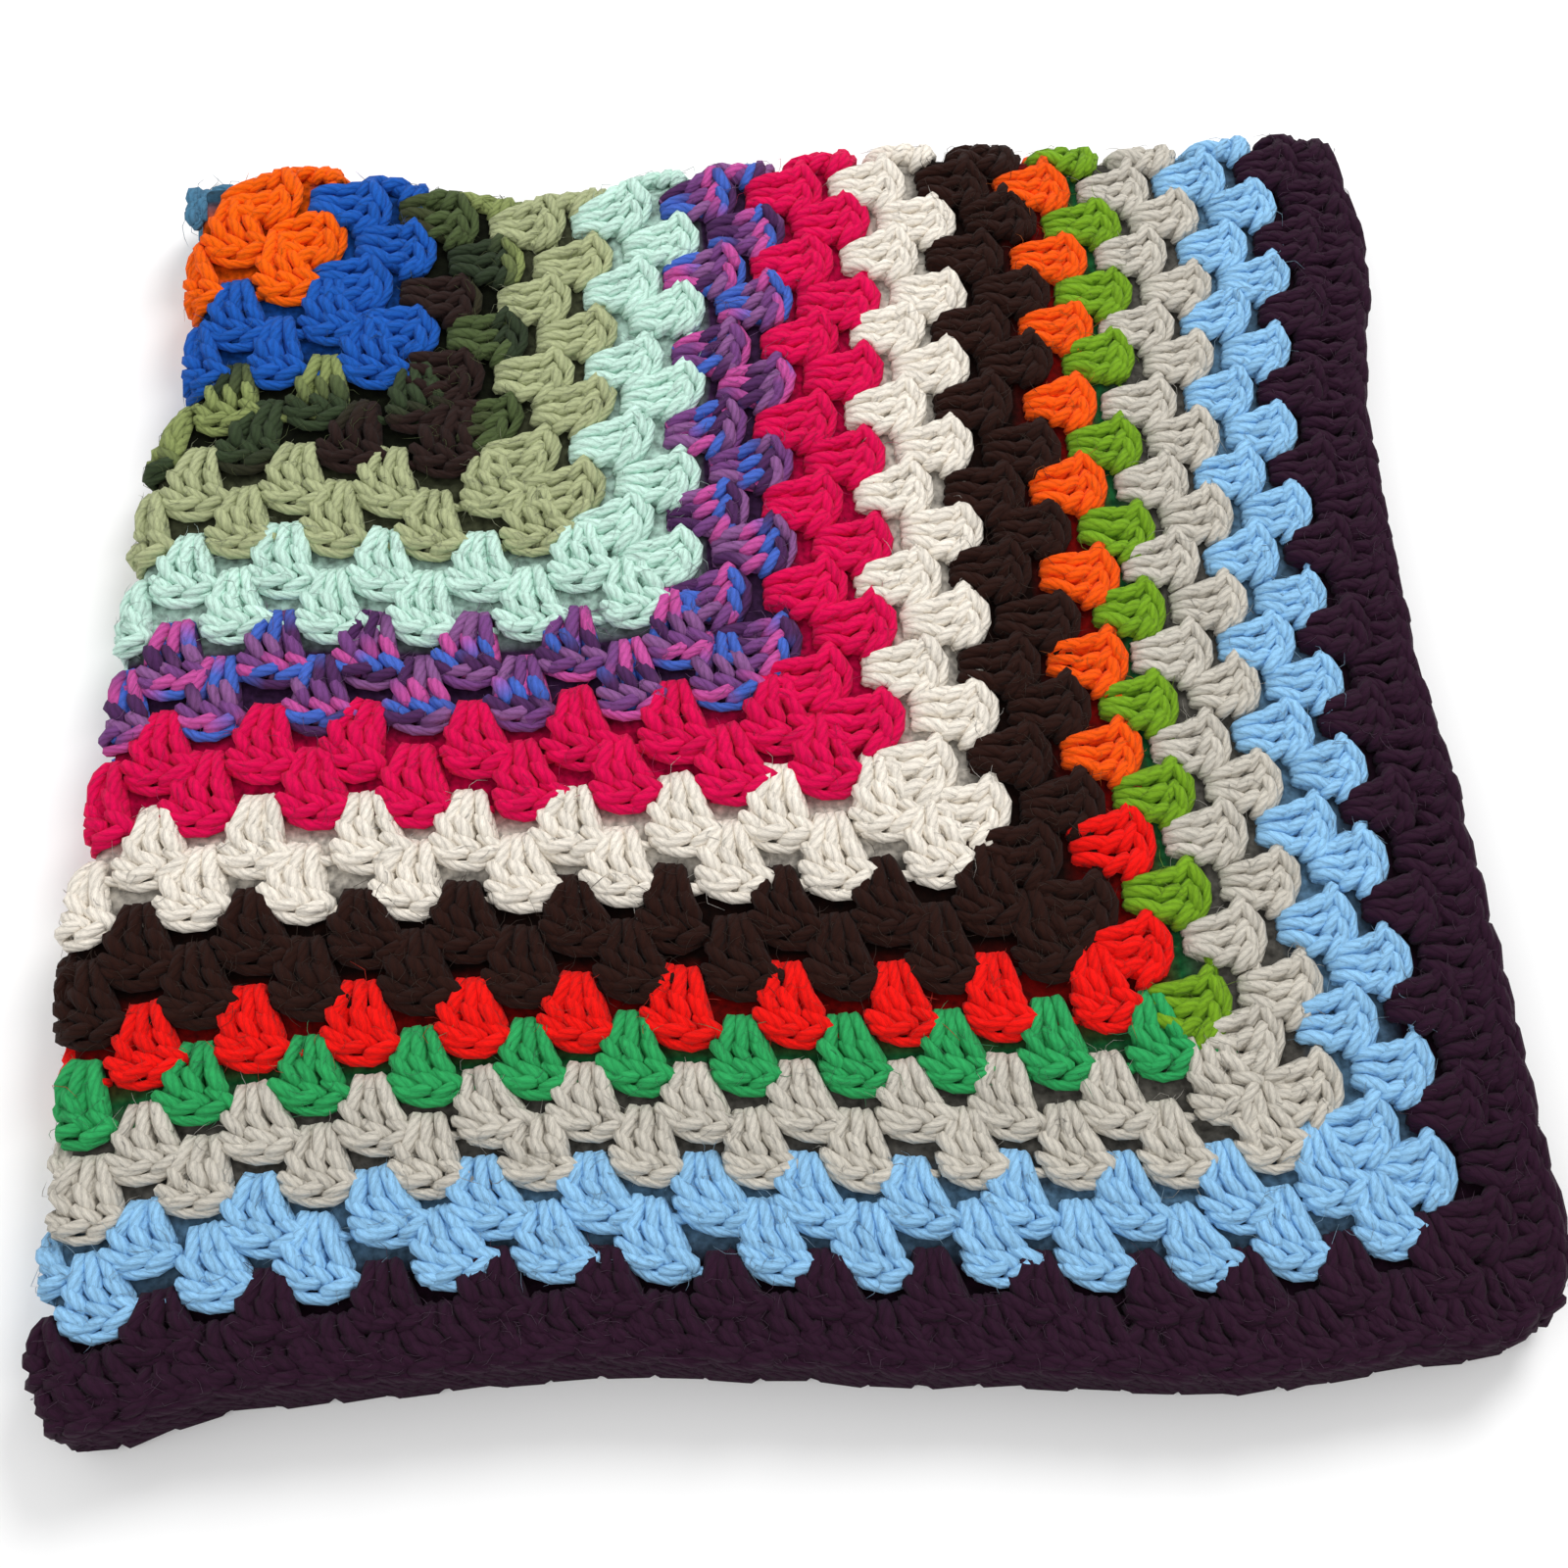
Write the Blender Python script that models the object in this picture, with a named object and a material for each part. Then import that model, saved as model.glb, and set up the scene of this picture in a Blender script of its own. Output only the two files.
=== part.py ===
"""A granny square blanket, folded in four and laid flat.

The blanket is one crocheted cloth of 27 rounds. It is folded in half from left to right, and the
doubled cloth is folded again from back to front. So two bends lie on each other along the left edge,
one bend lies inside the other along the back, and four loose edges meet at the front and the right.
Metres, +Z up, resting on z = 0 with the middle of its outline at the origin.
"""
import math

import bpy
import bmesh
import numpy as np

ROUNDS = 27
ROUND_DEPTH = 0.014          # from one round to the next, on average
THICK = 0.006                # one layer of three-post clusters in thick yarn
GAP = 0.001                  # air between two layers
CORNER = 0.024               # how round the outer corners are

HALF_SIDE = ROUNDS * ROUND_DEPTH           # from the middle of the cloth to its edge
LEFT_RADIUS = (THICK + GAP) / 2            # middle of the cloth in the left bends
BACK_RADIUS = THICK + GAP                  # middle of the doubled cloth in the back bend
FOLDED_SIDE = HALF_SIDE - LEFT_RADIUS * math.pi / 2
MID_HEIGHT = BACK_RADIUS + LEFT_RADIUS + THICK / 2
HEIGHT = 2 * MID_HEIGHT

# How far each edge stands out from a straight line: (share of the edge, metres outwards).
# The left and right edges run from back to front, the other two from left to right.
LEFT_EDGE = ((0.0, -0.016), (0.18, -0.018), (0.28, -0.007), (0.46, -0.002), (0.56, 0.001),
             (0.64, 0.006), (0.80, 0.003), (0.94, 0.005), (1.0, -0.003))
RIGHT_EDGE = ((0.0, 0.003), (0.08, 0.006), (0.28, -0.005), (0.48, -0.006), (0.60, -0.003),
              (0.80, -0.001), (1.0, 0.002))
BACK_EDGE = ((0.0, 0.002), (0.08, 0.004), (0.29, -0.010), (0.46, -0.001), (0.62, 0.003),
             (0.83, -0.002), (0.95, 0.004), (1.0, 0.001))
FRONT_EDGE = ((0.0, 0.007), (0.10, -0.001), (0.34, -0.003), (0.46, 0.001), (0.55, 0.005),
              (0.78, 0.012), (0.92, 0.008), (1.0, 0.007))
# How far the lower layers come out past the top one on the right: (share of the edge, metres).
LOWER_LAYERS = ((0.0, 0.0), (0.50, 0.001), (0.70, 0.005), (0.92, 0.004), (1.0, 0.001))
# Soft rises and hollows of the pile: share across, share forward, radius as a share, rise as a share.
RISES = ((0.02, 0.00, 0.12, 0.07), (0.29, 0.00, 0.14, -0.07), (0.96, 0.02, 0.10, 0.08),
         (0.45, 0.50, 0.30, 0.05), (0.62, 1.00, 0.22, -0.10), (1.00, 0.42, 0.20, -0.09),
         (0.20, 0.80, 0.20, 0.04), (0.98, 0.98, 0.16, -0.14))

FLAT_STEPS = 16              # mesh steps along a flat half side
BEND_STEPS = 6               # mesh steps round a bend


def along(table, share):
    """Smooth curve through the rows (share, metres) of an edge table."""
    at, out = np.array(table).T
    row = np.clip(np.searchsorted(at, share) - 1, 0, len(at) - 2)
    part = np.clip((share - at[row]) / (at[row + 1] - at[row]), 0.0, 1.0)
    part = part * part * (3.0 - 2.0 * part)
    return out[row] + (out[row + 1] - out[row]) * part


def round_corners(s, t):
    """Draw the four corners of the flat square in, as on a disc inscribed in each corner's square."""
    straight = HALF_SIDE - CORNER
    u = np.clip((abs(s) - straight) / CORNER, 0.0, 1.0)
    v = np.clip((abs(t) - straight) / CORNER, 0.0, 1.0)
    across = np.minimum(abs(s), straight) + CORNER * u * np.sqrt(1.0 - v * v / 2)
    forward = np.minimum(abs(t), straight) + CORNER * v * np.sqrt(1.0 - u * u / 2)
    return np.sign(s) * across, np.sign(t) * forward


def bend(distance, lift, radius):
    """Fold a line in half round a bend: how far along it ends up, and how high above the middle."""
    half_arc = radius * math.pi / 2
    angle = np.clip(distance, -half_arc, half_arc) / radius
    run = np.maximum(abs(distance) - half_arc, 0.0)
    return run - np.cos(angle) * (radius + lift), np.sin(angle) * (radius + lift)


def lie_unevenly(x, y, z):
    """Move a point of the neatly folded pile to where the hand-folded one has it."""
    across = np.clip(x / FOLDED_SIDE, 0.0, 1.0)
    forward = np.clip(-y / FOLDED_SIDE, 0.0, 1.0)
    below_top = 1.0 - z / HEIGHT
    right = along(RIGHT_EDGE, forward) + below_top * along(LOWER_LAYERS, forward)
    rise = np.ones_like(z)
    for centre_x, centre_y, radius, share in RISES:
        away = ((across - centre_x) ** 2 + (forward - centre_y) ** 2) / radius ** 2
        rise += share * np.exp(-away)
    new_x = x - along(LEFT_EDGE, forward) * (1.0 - across) ** 2 + right * across ** 2
    new_y = y + along(BACK_EDGE, across) * (1.0 - forward) ** 2 - along(FRONT_EDGE, across) * forward ** 2
    return new_x, new_y, z * rise


def fold(s, t, n):
    """Place a point of the flat cloth: s to the right, t to the back, n up from its middle."""
    s, t = round_corners(s, t)
    x, lift = bend(s, n, LEFT_RADIUS)
    back, up = bend(-t, lift, BACK_RADIUS)
    return lie_unevenly(x, -back, MID_HEIGHT + up)


def steps(radius):
    """Where the mesh lines cross one side of the flat cloth, closer together round the bend."""
    half_arc = radius * math.pi / 2
    flat = np.linspace(half_arc, HALF_SIDE, FLAT_STEPS + 1)
    arc = np.linspace(-half_arc, half_arc, BEND_STEPS + 1)
    return np.concatenate((-flat[::-1], arc[1:-1], flat))


def cloth_points():
    """The corners of the mesh, upper face first, centred over the origin."""
    s, t = np.meshgrid(steps(LEFT_RADIUS), steps(BACK_RADIUS), indexing="ij")
    faces = []
    for n in (THICK / 2, -THICK / 2):
        faces.append(np.stack(fold(s, t, np.full_like(s, n)), axis=-1))
    points = np.array(faces)
    corners = points.reshape(-1, 3)
    middle = (corners.min(axis=0) + corners.max(axis=0)) / 2
    points[..., 0] -= middle[0]
    points[..., 1] -= middle[1]
    points[..., 2] -= corners[:, 2].min()
    return points


def closed_sheet(points):
    """One closed mesh from the grids of the two faces and the rim between them."""
    mesh = bpy.data.meshes.new("blanket")
    shell = bmesh.new()
    upper, lower = [[[shell.verts.new(p) for p in line] for line in grid] for grid in points]
    rows = len(upper) - 1
    columns = len(upper[0]) - 1
    for i in range(rows):
        for j in range(columns):
            shell.faces.new((upper[i][j], upper[i + 1][j], upper[i + 1][j + 1], upper[i][j + 1]))
            shell.faces.new((lower[i][j], lower[i][j + 1], lower[i + 1][j + 1], lower[i + 1][j]))
    for i in range(rows):
        shell.faces.new((upper[i][0], lower[i][0], lower[i + 1][0], upper[i + 1][0]))
        shell.faces.new((upper[i + 1][-1], lower[i + 1][-1], lower[i][-1], upper[i][-1]))
    for j in range(columns):
        shell.faces.new((upper[0][j + 1], lower[0][j + 1], lower[0][j], upper[0][j]))
        shell.faces.new((upper[-1][j], lower[-1][j], lower[-1][j + 1], upper[-1][j + 1]))
    bmesh.ops.triangulate(shell, faces=shell.faces[:])
    bmesh.ops.recalc_face_normals(shell, faces=shell.faces[:])
    shell.to_mesh(mesh)
    shell.free()
    mesh.shade_smooth()
    return mesh


def yarn_material():
    """Matt acrylic yarn in the purple of the edge rounds."""
    material = bpy.data.materials.new("acrylic_yarn")
    material.use_nodes = True
    shader = material.node_tree.nodes["Principled BSDF"]
    shader.inputs["Base Color"].default_value = (0.05, 0.012, 0.045, 1.0)
    shader.inputs["Roughness"].default_value = 0.9
    shader.inputs["Metallic"].default_value = 0.0
    return material


def main():
    for old in list(bpy.data.objects):
        bpy.data.objects.remove(old, do_unlink=True)
    blanket = bpy.data.objects.new("blanket", closed_sheet(cloth_points()))
    blanket.data.materials.append(yarn_material())
    bpy.context.scene.collection.objects.link(blanket)


main()
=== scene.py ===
"""Looks of the granny square blanket, folded in four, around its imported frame.

Every strand of yarn is laid out on the flat cloth first: s to the right, t to the back and n up from
the middle of the cloth, in metres. The fold then carries it to its place in the pile.
"""
import math
from collections import namedtuple

import bpy
import numpy as np
from mathutils import Matrix, Vector


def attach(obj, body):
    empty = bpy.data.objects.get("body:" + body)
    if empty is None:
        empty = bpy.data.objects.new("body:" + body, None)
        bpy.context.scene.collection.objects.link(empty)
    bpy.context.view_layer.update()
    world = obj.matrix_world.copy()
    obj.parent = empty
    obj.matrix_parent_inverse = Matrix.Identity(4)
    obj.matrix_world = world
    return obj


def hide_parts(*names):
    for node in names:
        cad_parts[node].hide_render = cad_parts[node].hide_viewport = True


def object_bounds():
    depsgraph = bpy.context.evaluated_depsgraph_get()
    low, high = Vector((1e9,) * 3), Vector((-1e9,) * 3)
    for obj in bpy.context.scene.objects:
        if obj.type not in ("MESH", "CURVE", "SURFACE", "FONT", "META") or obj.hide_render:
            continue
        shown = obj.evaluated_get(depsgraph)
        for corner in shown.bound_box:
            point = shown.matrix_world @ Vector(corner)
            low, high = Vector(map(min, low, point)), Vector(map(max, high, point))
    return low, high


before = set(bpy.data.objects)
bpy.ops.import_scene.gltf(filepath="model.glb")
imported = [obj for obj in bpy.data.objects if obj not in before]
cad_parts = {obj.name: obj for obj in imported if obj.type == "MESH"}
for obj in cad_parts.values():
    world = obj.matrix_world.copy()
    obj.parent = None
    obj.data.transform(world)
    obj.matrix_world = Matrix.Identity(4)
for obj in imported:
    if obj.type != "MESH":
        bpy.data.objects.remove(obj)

cad_low, cad_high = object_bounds()

MM = 0.001

# --- the cloth, in its own sizes -------------------------------------------------------------------
ROUNDS = 27
HALF_SIDE = 0.378            # from the middle of the cloth to its edge
THICK = 0.006                # one crocheted layer
GAP = 0.001                  # air between two layers
CORNER = 0.024               # how round the outer corners are
STEP = 28 * MM               # from one cluster to the next along a side
LEFT_RADIUS = (THICK + GAP) / 2
BACK_RADIUS = THICK + GAP
FOLDED_SIDE = HALF_SIDE - LEFT_RADIUS * math.pi / 2
MID_HEIGHT = BACK_RADIUS + LEFT_RADIUS + THICK / 2
HEIGHT = 2 * MID_HEIGHT

# How far each edge of the pile stands out from a straight line: (share of the edge, metres).
LEFT_EDGE = ((0.0, -0.016), (0.18, -0.018), (0.28, -0.007), (0.46, -0.002), (0.56, 0.001),
             (0.64, 0.006), (0.80, 0.003), (0.94, 0.005), (1.0, -0.003))
RIGHT_EDGE = ((0.0, 0.003), (0.08, 0.006), (0.28, -0.005), (0.48, -0.006), (0.60, -0.003),
              (0.80, -0.001), (1.0, 0.002))
BACK_EDGE = ((0.0, 0.002), (0.08, 0.004), (0.29, -0.010), (0.46, -0.001), (0.62, 0.003),
             (0.83, -0.002), (0.95, 0.001), (1.0, -0.003))
FRONT_EDGE = ((0.0, 0.007), (0.10, -0.001), (0.34, -0.003), (0.46, 0.001), (0.55, 0.005),
              (0.78, 0.012), (0.92, 0.008), (1.0, 0.007))
# How far the lower layers come out past the top one on the right: (share of the edge, metres).
LOWER_LAYERS = ((0.0, 0.0), (0.50, 0.001), (0.70, 0.005), (0.92, 0.004), (1.0, 0.001))
# Soft rises and hollows of the pile: share across, share forward, radius as a share, rise as a share.
RISES = ((0.02, 0.00, 0.12, 0.07), (0.29, 0.00, 0.14, -0.07), (0.96, 0.02, 0.10, 0.03),
         (0.45, 0.50, 0.30, 0.05), (0.62, 1.00, 0.22, -0.10), (1.00, 0.42, 0.20, -0.09),
         (0.20, 0.80, 0.20, 0.04), (0.98, 0.98, 0.16, -0.14))

# How far the left fold misses the middle of the cloth: (share from the middle to the edge, metres).
FOLD_MISSES = ((0.0, 0.0), (0.50, 0.002), (0.75, 0.007), (0.85, 0.010), (0.93, 0.0155), (1.0, 0.017))
# How far the rounds have sagged towards the front and back: (share from the middle, metres).
SAG = ((0.0, 0.0), (0.15, 0.003), (0.40, 0.003), (0.63, 0.006), (0.75, 0.0075), (0.93, 0.0045), (1.0, 0.0))
BACK_FOLD_MISSES = 0.002     # how far the back fold misses the middle, at its right end
MISS_FADES = 3               # the power by which the left fold's miss fades towards the diagonal
SAG_FADES = 8                # the power by which the sag fades towards it
LEAST_SHARE = 0.01           # keeps the way to the diagonal from being divided by nothing
# Where the rounds are tugged out of line: share across, share forward, radius as a share, then metres
# to the right and forwards.
TUGS = ((0.72, 0.35, 0.25, 0.004, 0.0), (0.74, 0.03, 0.12, 0.0, 0.004))


def along(table, share):
    """Smooth curve through the rows (share, metres) of an edge table."""
    at, out = np.array(table).T
    row = np.clip(np.searchsorted(at, share) - 1, 0, len(at) - 2)
    part = np.clip((share - at[row]) / (at[row + 1] - at[row]), 0.0, 1.0)
    part = part * part * (3.0 - 2.0 * part)
    return out[row] + (out[row + 1] - out[row]) * part


def round_corners(s, t):
    """Draw the four corners of the flat square in."""
    straight = HALF_SIDE - CORNER
    u = np.clip((abs(s) - straight) / CORNER, 0.0, 1.0)
    v = np.clip((abs(t) - straight) / CORNER, 0.0, 1.0)
    across = np.minimum(abs(s), straight) + CORNER * u * np.sqrt(1.0 - v * v / 2)
    forward = np.minimum(abs(t), straight) + CORNER * v * np.sqrt(1.0 - u * u / 2)
    return np.sign(s) * across, np.sign(t) * forward


def bend(distance, lift, radius):
    """Fold a line in half round a bend: how far along it ends up, and how high above the middle."""
    half_arc = radius * math.pi / 2
    angle = np.clip(distance, -half_arc, half_arc) / radius
    run = np.maximum(abs(distance) - half_arc, 0.0)
    return run - np.cos(angle) * (radius + lift), np.sin(angle) * (radius + lift)


def lie_unevenly(x, y, z):
    """Move a point of the neatly folded pile to where the hand-folded one has it."""
    across = np.clip(x / FOLDED_SIDE, 0.0, 1.0)
    forward = np.clip(-y / FOLDED_SIDE, 0.0, 1.0)
    below_top = 1.0 - z / HEIGHT
    right = along(RIGHT_EDGE, forward) + below_top * along(LOWER_LAYERS, forward)
    rise = np.ones_like(z)
    for centre_x, centre_y, radius, share in RISES:
        away = ((across - centre_x) ** 2 + (forward - centre_y) ** 2) / radius ** 2
        rise += share * np.exp(-away)
    new_x = x - along(LEFT_EDGE, forward) * (1.0 - across) ** 2 + right * across ** 2
    new_y = y + along(BACK_EDGE, across) * (1.0 - forward) ** 2 - along(FRONT_EDGE, across) * forward ** 2
    return new_x, new_y, z * rise


def slip(s, t):
    """The folds miss the middle of the cloth a little, so the stitches lie askew to them."""
    across = np.clip(abs(s) / HALF_SIDE, 0.0, 1.0)
    forward = np.clip(abs(t) / HALF_SIDE, 0.0, 1.0)
    to_diagonal = np.clip(across / np.maximum(forward, LEAST_SHARE), 0.0, 1.0)
    new_s = s + along(FOLD_MISSES, forward) * (1.0 - to_diagonal ** MISS_FADES)
    new_t = t + np.sign(t) * along(SAG, forward) * (1.0 - to_diagonal ** SAG_FADES)
    new_t = new_t - BACK_FOLD_MISSES * across * (1.0 - forward ** 2)
    for centre_s, centre_t, radius, right, front in TUGS:
        near = np.exp(-((across - centre_s) ** 2 + (forward - centre_t) ** 2) / radius ** 2)
        new_s = new_s + right * near * np.sign(s)
        new_t = new_t - front * near
    return new_s, new_t


def fold(s, t, n):
    """Place points of the flat cloth in the pile, before the pile is centred."""
    s, t = round_corners(*slip(s, t))
    x, lift = bend(s, n, LEFT_RADIUS)
    back, up = bend(-t, lift, BACK_RADIUS)
    return np.stack(lie_unevenly(x, -back, MID_HEIGHT + up), axis=-1)


OUTLINE_POINTS = 400         # points across the cloth when the outline of the pile is measured


def pile_shift():
    """What moves the pile over the frame's own middle, down onto the surface it rests on."""
    line = np.linspace(-HALF_SIDE, HALF_SIDE, OUTLINE_POINTS)
    s, t = np.meshgrid(line, line)
    both = [fold(s, t, np.full_like(s, n)).reshape(-1, 3) for n in (THICK / 2, -THICK / 2)]
    points = np.concatenate(both)
    centre = (np.array(cad_low) + np.array(cad_high)) / 2
    shift = centre - (points.min(axis=0) + points.max(axis=0)) / 2
    shift[2] = cad_low.z - points[:, 2].min()
    return shift


SHIFT = pile_shift()


def place(cloth_points):
    """Points (s, t, n) of the flat cloth, to points of the folded pile in the frame."""
    return fold(cloth_points[..., 0], cloth_points[..., 1], cloth_points[..., 2]) + SHIFT


PRESSED = 1.8 * MM           # yarn lower than this is pressed flat by the pile
PRESS = 0.3                  # to this share of its height


def pressed(points):
    """Press the yarn that lies on the surface flat, so nothing goes through it."""
    below = np.minimum(points[..., 2] - cad_low.z - PRESSED, 0.0)
    points[..., 2] -= below * (1.0 - PRESS)
    return points


# --- how the rounds are laid out -------------------------------------------------------------------
RING = 6.1 * MM              # the ring in the middle
FIRST_DEPTH = 15.3 * MM      # depth of the first round
DEPTH_LOSS = 0.0565 * MM     # rounds get shallower towards the edge
CORNER_SPACE = 5.6 * MM      # the corner hole lies this far in from the corner
NARROWER = 0.012             # front and back rows are this much shorter than those at the sides
CORNER_LEAN = 0.06           # clusters lean towards the nearest corner by up to this angle
PLUMP = 1.06                 # clusters fill a little more than their own place
LAST_WIDER = 1.25            # clusters of the last round spread along the edge
BETWEEN = 0.6                # posts worked between them there are this deep beside the others
OVERLAP = 0.88               # depth of a cluster, as a share of two rounds
LEAN_VARIES = 0.065          # angle by which one cluster leans more or less than the next
PLACE_VARIES = 0.5           # millimetres by which it lies out of its place
SIZE_VARIES = 0.03           # share by which it is wider or deeper


def reach(round_number):
    """How far from the middle of the cloth the rim of a round is."""
    return RING + FIRST_DEPTH * round_number - DEPTH_LOSS * round_number ** 2


def step_of(round_number, side):
    """A round's clusters are spread evenly between the corner holes of the round before it."""
    spaces = np.maximum(round_number - 1, 1)
    shorter = 1.0 - NARROWER * ((side == FRONT) | (side == BACK))
    return 2 * (reach(round_number - 1) * shorter - CORNER_SPACE) / spaces


# Clusters are rows of an array with these columns.
SIDE, ROUND, ALONG, LEAN, WIDE, DEEP = range(6)
FRONT, RIGHT, BACK, LEFT = range(4)


def clusters_of(round_number, dice):
    """One row for each cluster of a round, side by side along its four sides."""
    half = (round_number - 1) / 2
    rows = []
    for side in (FRONT, RIGHT, BACK, LEFT):
        for i in range(round_number):
            from_middle = (i - half) / max(half, 1)
            lean = CORNER_LEAN * from_middle * abs(from_middle) ** 3 + dice.normal(0.0, LEAN_VARIES)
            shift = dice.normal(0.0, PLACE_VARIES) * MM
            wide = dice.normal(PLUMP, SIZE_VARIES) * (LAST_WIDER if round_number == ROUNDS else 1.0)
            rows.append((side, round_number, (i - half) * step_of(round_number, side) + shift, lean,
                         wide, dice.normal(1.0, SIZE_VARIES)))
            if round_number == ROUNDS and i < round_number - 1:
                between = (i - half + 0.5) * step_of(round_number, side) + shift
                rows.append((side, round_number, between, lean, wide,
                             dice.normal(BETWEEN, SIZE_VARIES)))
    return np.array(rows)


# --- one cluster of three posts --------------------------------------------------------------------
# Its strands run through knots (a, u, n): a steps to the right of its middle, u depths out from its
# rim, so from -1 to 0, and n millimetres up from the middle of the cloth.
STRAND = 1.55                # radius of the yarn, in millimetres


def smooth_path(knots, count):
    """A path of count points through a few knots, on one smooth curve."""
    knots = np.array(knots, float)
    ends = np.concatenate((2 * knots[:1] - knots[1:2], knots, 2 * knots[-1:] - knots[-2:-1]))
    at = np.linspace(0, len(knots) - 1, count)
    row = np.minimum(at.astype(int), len(knots) - 2)
    f = (at - row)[:, None]
    p0, p1, p2, p3 = ends[row], ends[row + 1], ends[row + 2], ends[row + 3]
    return 0.5 * (2 * p1 + (p2 - p0) * f + (2 * p0 - 5 * p1 + 4 * p2 - p3) * f ** 2
                  + (3 * p1 - p0 - 3 * p2 + p3) * f ** 3)


def post(k):
    """The front strand of a post: out of the space below, over, and under its own wraps."""
    return ((0.09 * k, -0.94, -1.8), (0.10 * k, -0.89, 0.6), (0.12 * k, -0.75, 2.3),
            (0.165 * k - 0.01, -0.58, 2.3), (0.20 * k - 0.01, -0.42, 0.2))


def core(k):
    """The back of a post: the yarn behind it, which fills the cluster out."""
    return ((0.07 * k, -0.95, -1.3), (0.12 * k, -0.70, -0.3), (0.20 * k, -0.36, 0.1),
            (0.19 * k, -0.12, -0.7))


def wrap(k, row):
    """One of the two turns of yarn that lie over each post: a long steep one, and one nearer the rim."""
    c = (0.175 + 0.04 * row) * k - 0.01 + 0.02 * row
    u = -0.47 + 0.19 * row
    slant = 0.045 + 0.045 * row
    high = 2.9 - 0.3 * row
    return ((c - slant - 0.02, u - 0.19 + 0.05 * row, -0.4), (c - slant, u - 0.10 + 0.03 * row, high - 0.7),
            (c, u, high), (c + slant, u + 0.09 - 0.02 * row, high - 0.6),
            (c + slant + 0.02, u + 0.17 - 0.03 * row, -0.2))


def rim(k):
    """One loop of the chain along the rim, which slants out to the left."""
    c = -0.05 + 0.225 * k
    u = -0.05 * (1 - k)
    return ((c - 0.16, u - 0.08, 0.2), (c - 0.09, u - 0.09, 2.1), (c + 0.02, u / 2 - 0.14, 2.9),
            (c + 0.09, -0.20, 2.2), (c + 0.115, -0.26, -0.9))


# The start of the rim's chain, the strand under it, and the one that links on to the next cluster.
RIM_START = ((-0.31, -0.27, 0.4), (-0.25, -0.19, 1.8), (-0.16, -0.16, 2.0), (-0.08, -0.19, 0.8))
UNDER_RIM = ((-0.30, -0.26, -0.2), (-0.22, -0.12, 0.8), (-0.06, -0.02, 1.2), (0.11, -0.01, 1.2),
             (0.25, -0.10, 0.8), (0.31, -0.24, -0.2))
LINK = ((0.26, -0.12, -0.4), (0.38, -0.14, 0.3), (0.50, -0.15, 0.5), (0.62, -0.15, 0.3),
        (0.72, -0.16, -0.4))
POSTS = (-1, 0, 1)           # the three posts of a cluster, from left to right


def group(knot_lists, count, thick, taper):
    """Strands with the same number of points: their paths, thickness and how much the ends narrow."""
    return np.array([smooth_path(knots, count) for knots in knot_lists]), thick, taper


def full_cluster():
    """A cluster that is seen close to."""
    return [group([post(k) for k in POSTS], 6, 1.28, 0.75),
            group([core(k) for k in POSTS], 4, 1.75, 0.8),
            group([wrap(k, 0) for k in POSTS], 6, 1.26, 0.6),
            group([wrap(k, 1) for k in POSTS] + [RIM_START], 5, 1.22, 0.6),
            group([rim(0), rim(1)], 6, 1.2, 0.5),
            group([UNDER_RIM, LINK], 6, 1.0, 0.6)]


def plain_cluster():
    """The same cluster with fewer strands and points, for the layers that are hardly seen."""
    return [group([post(k) for k in POSTS], 4, 1.4, 0.6),
            group([wrap(k, row) for k in POSTS for row in (0, 1)] + [rim(0), rim(1)], 4, 1.4, 0.6),
            group([UNDER_RIM, LINK], 4, 1.0, 0.6)]


TURNS_TO = 0.72              # strands this many steps out don't turn with a cluster that leans
TURN_FADES = 0.42            # over this many steps before that they turn less and less
STRAND_SLIDES = 0.012        # steps by which a strand lies out of place along the side
STRAND_LIFTS = 0.2 * MM      # how much it lies out of place in height


def lay(paths, clusters, face, dice):
    """Lay one group of strand paths at every cluster, on one face of the flat cloth."""
    number = clusters[:, ROUND][:, None, None]
    side = clusters[:, SIDE][:, None, None]
    step = step_of(number, side)
    depth = OVERLAP * (reach(number) - reach(number - 2)) * clusters[:, DEEP][:, None, None]
    a = paths[None, :, :, 0] * clusters[:, WIDE][:, None, None]
    jitter = dice.normal(0.0, STRAND_SLIDES, (len(clusters), paths.shape[0], 1))
    turned = a * np.clip((TURNS_TO - abs(a)) / TURN_FADES, 0.0, 1.0) * step
    along_side = (a + jitter) * step
    u = (paths[None, :, :, 1] + 1.0) * depth
    lean = clusters[:, LEAN][:, None, None]
    across = clusters[:, ALONG][:, None, None] + along_side + u * np.sin(lean)
    outwards = reach(number) - depth + u * np.cos(lean) - turned * np.sin(lean)
    n = face * paths[None, :, :, 2] * MM + dice.normal(0.0, STRAND_LIFTS, jitter.shape)
    n = np.broadcast_to(n, across.shape)
    sides = [side == FRONT, side == RIGHT, side == BACK]
    s = np.select(sides, [across, outwards, -across], -outwards)
    t = np.select(sides, [-outwards, across, outwards], -across)
    return np.stack((s, t, n), axis=-1)


# --- meshes ----------------------------------------------------------------------------------------
ABOVE = 0.2 * MM             # a point this far over the yarn shows which way is up in the pile
TINY = 1e-12                 # keeps a length from being nothing


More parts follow.
